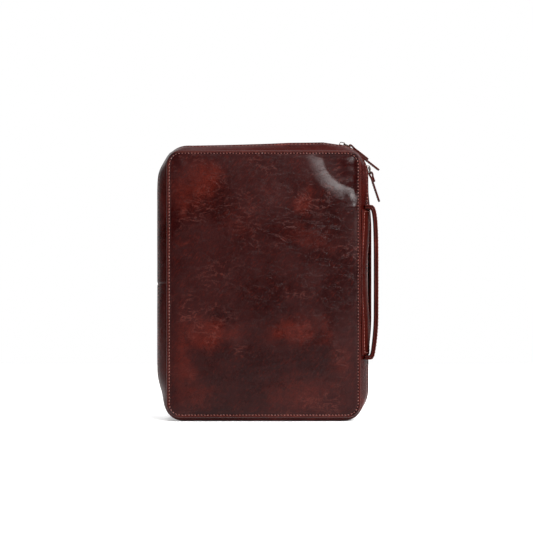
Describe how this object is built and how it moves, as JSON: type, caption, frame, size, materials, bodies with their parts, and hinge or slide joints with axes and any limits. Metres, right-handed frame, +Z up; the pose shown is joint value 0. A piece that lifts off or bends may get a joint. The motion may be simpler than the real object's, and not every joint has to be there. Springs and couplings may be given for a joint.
{
  "type": "zipped leather bible",
  "caption": "Bible in a zipped leather carrying cover with a strap handle on its fore edge, standing upright.",
  "frame": {"origin": "centre of the bounding box in X and Y, on the surface that the case stands on", "axes": "+Z up along the spine, front panel facing -Y, spine on the -X side and handle on the +X side"},
  "size_m": [0.2265, 0.056, 0.283],
  "materials": {
    "panel_leather": "dark burgundy-brown antiqued leather, glossy",
    "edge_leather": "the same leather at its turned edges, lighter and redder",
    "sleeve_leather": "matt brown split leather inside the case",
    "lining_cloth": "dark brown woven lining",
    "zip_cloth": "dark brown woven zip tape",
    "stiffener_board": "grey-brown millboard",
    "book_leather": "black grained bonded leather",
    "page_paper": "thin cream paper, gilt at its edges",
    "ribbon_satin": "dark red satin",
    "zip_metal": "dark nickel plate"
  },
  "bodies": {
    "back": {"back_panel": "panel_leather", "back_welt": "edge_leather", "back_stiffener": "stiffener_board", "back_lining": "lining_cloth", "back_gusset": "panel_leather", "back_gusset_lining": "lining_cloth", "back_zip_tape": "zip_cloth", "back_zip_teeth": "zip_metal", "back_sleeve": "sleeve_leather", "bible_back_board": "book_leather", "bible_back_endpaper": "page_paper", "bible_back_pages": "page_paper", "ribbon_marker_1": "ribbon_satin", "ribbon_marker_2": "ribbon_satin"},
    "spine": {"spine_gusset_upper": "panel_leather", "spine_gusset_lower": "panel_leather", "spine_lining": "lining_cloth", "zip_end_tab_top": "edge_leather", "zip_end_tab_bottom": "edge_leather", "bible_spine": "book_leather", "headband_top": "ribbon_satin", "headband_bottom": "ribbon_satin"},
    "front": {"front_panel": "panel_leather", "front_welt": "edge_leather", "front_stiffener": "stiffener_board", "front_lining": "lining_cloth", "front_gusset": "panel_leather", "front_gusset_lining": "lining_cloth", "front_zip_tape": "zip_cloth", "front_zip_teeth": "zip_metal", "front_sleeve": "sleeve_leather", "bible_front_board": "book_leather", "bible_front_endpaper": "page_paper", "bible_front_pages": "page_paper", "handle_patch": "edge_leather"},
    "handle": {"handle_strap_outer": "edge_leather", "handle_strap_inner": "edge_leather"},
    "top_slider": {"top_zip_slider": "zip_metal"},
    "top_ring": {"top_zip_ring": "zip_metal"},
    "top_tab": {"top_zip_pull_tab": "edge_leather"},
    "side_slider": {"side_zip_slider": "zip_metal"},
    "side_ring": {"side_zip_ring": "zip_metal"},
    "side_tab": {"side_zip_pull_tab": "edge_leather"}
  },
  "joints": [
    {"name": "spine_fold", "type": "hinge", "parent": "back", "child": "spine", "pos_m": [-0.10362, 0.026, 0.138], "axis": [0, 0, -1], "range_deg": [0, 90]},
    {"name": "front_fold", "type": "hinge", "parent": "spine", "child": "front", "pos_m": [-0.10362, -0.026, 0.138], "axis": [0, 0, -1], "range_deg": [0, 90]},
    {"name": "handle_pull", "type": "slide", "parent": "front", "child": "handle", "axis": [1, 0, 0], "range_m": [0, 0.012]},
    {"name": "top_slider_run", "type": "hinge", "parent": "back", "child": "top_slider", "pos_m": [0.06738, 0, 0.2465], "axis": [0, -1, 0], "range_deg": [0, 24]},
    {"name": "top_ring_lift", "type": "hinge", "parent": "top_slider", "child": "top_ring", "pos_m": [0.07538, 0, 0.28027], "axis": [0, -1, 0], "range_deg": [0, 120]},
    {"name": "top_tab_lift", "type": "hinge", "parent": "top_ring", "child": "top_tab", "pos_m": [0.08191, 0, 0.27776], "axis": [0, -1, 0], "range_deg": [0, 60]},
    {"name": "side_slider_run", "type": "slide", "parent": "back", "child": "side_slider", "axis": [0, 0, -1], "range_m": [0, 0.205]},
    {"name": "side_ring_lift", "type": "hinge", "parent": "side_slider", "child": "side_ring", "pos_m": [0.10063, 0, 0.25674], "axis": [0, -1, 0], "range_deg": [0, 30]},
    {"name": "side_tab_lift", "type": "hinge", "parent": "side_ring", "child": "side_tab", "pos_m": [0.10285, 0, 0.2501], "axis": [0, -1, 0], "range_deg": [0, 60]}
  ],
  "couplings": [
    {"joint": "front_fold", "follows": "spine_fold", "ratio": 1}
  ]
}
